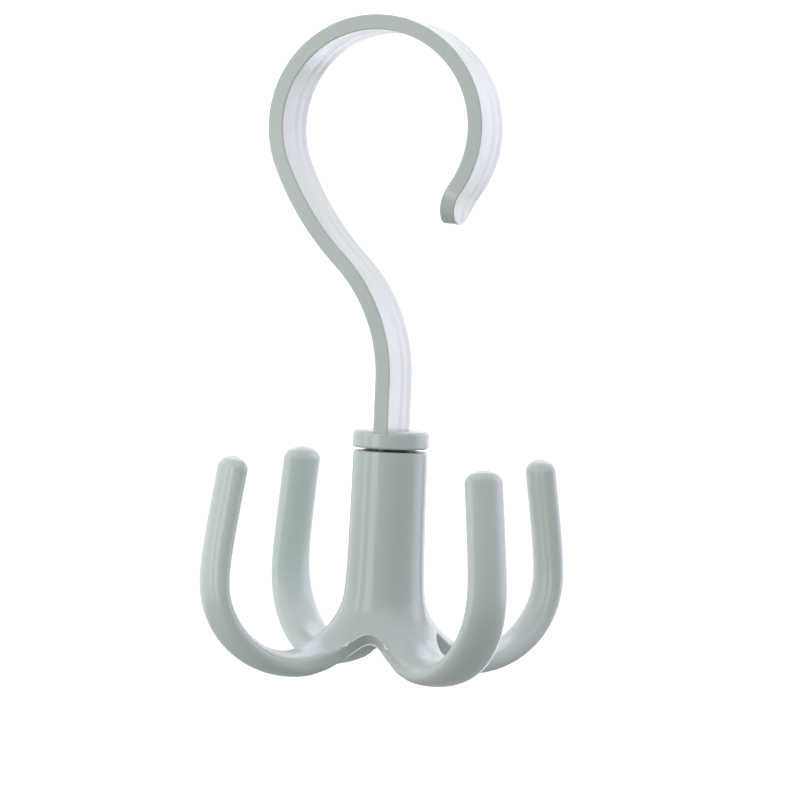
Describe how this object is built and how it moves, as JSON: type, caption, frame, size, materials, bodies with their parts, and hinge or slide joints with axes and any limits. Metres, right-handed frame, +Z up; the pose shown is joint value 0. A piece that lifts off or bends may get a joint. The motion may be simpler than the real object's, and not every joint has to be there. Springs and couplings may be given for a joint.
{
  "type": "rotating hanger rack",
  "caption": "Swivel hanger: a flat question-mark hook with a flange, and under it a hollow post with upturned J-shaped claws that turn freely.",
  "frame": {"origin": "the rod's seat: the point of the hook's inner face that lies over the swivel axis", "axes": "+Z up along the swivel axis, the hook's ribbon bends in the XZ plane with its tip towards +X, the ribbon's width runs along Y"},
  "size_m": [0.0684, 0.0684, 0.1401],
  "materials": {
    "hook_plastic": "glossy moulded plastic, pale sage green",
    "claw_plastic": "glossy moulded plastic, pale sage green"
  },
  "bodies": {
    "hanging_hook": {"hook": "hook_plastic"},
    "claw_body": {"claws": "claw_plastic"}
  },
  "joints": [
    {"name": "claw_swivel", "type": "hinge", "parent": "hanging_hook", "child": "claw_body", "pos_m": [0, 0, -0.088], "axis": [0, 0, 1], "continuous": true}
  ]
}
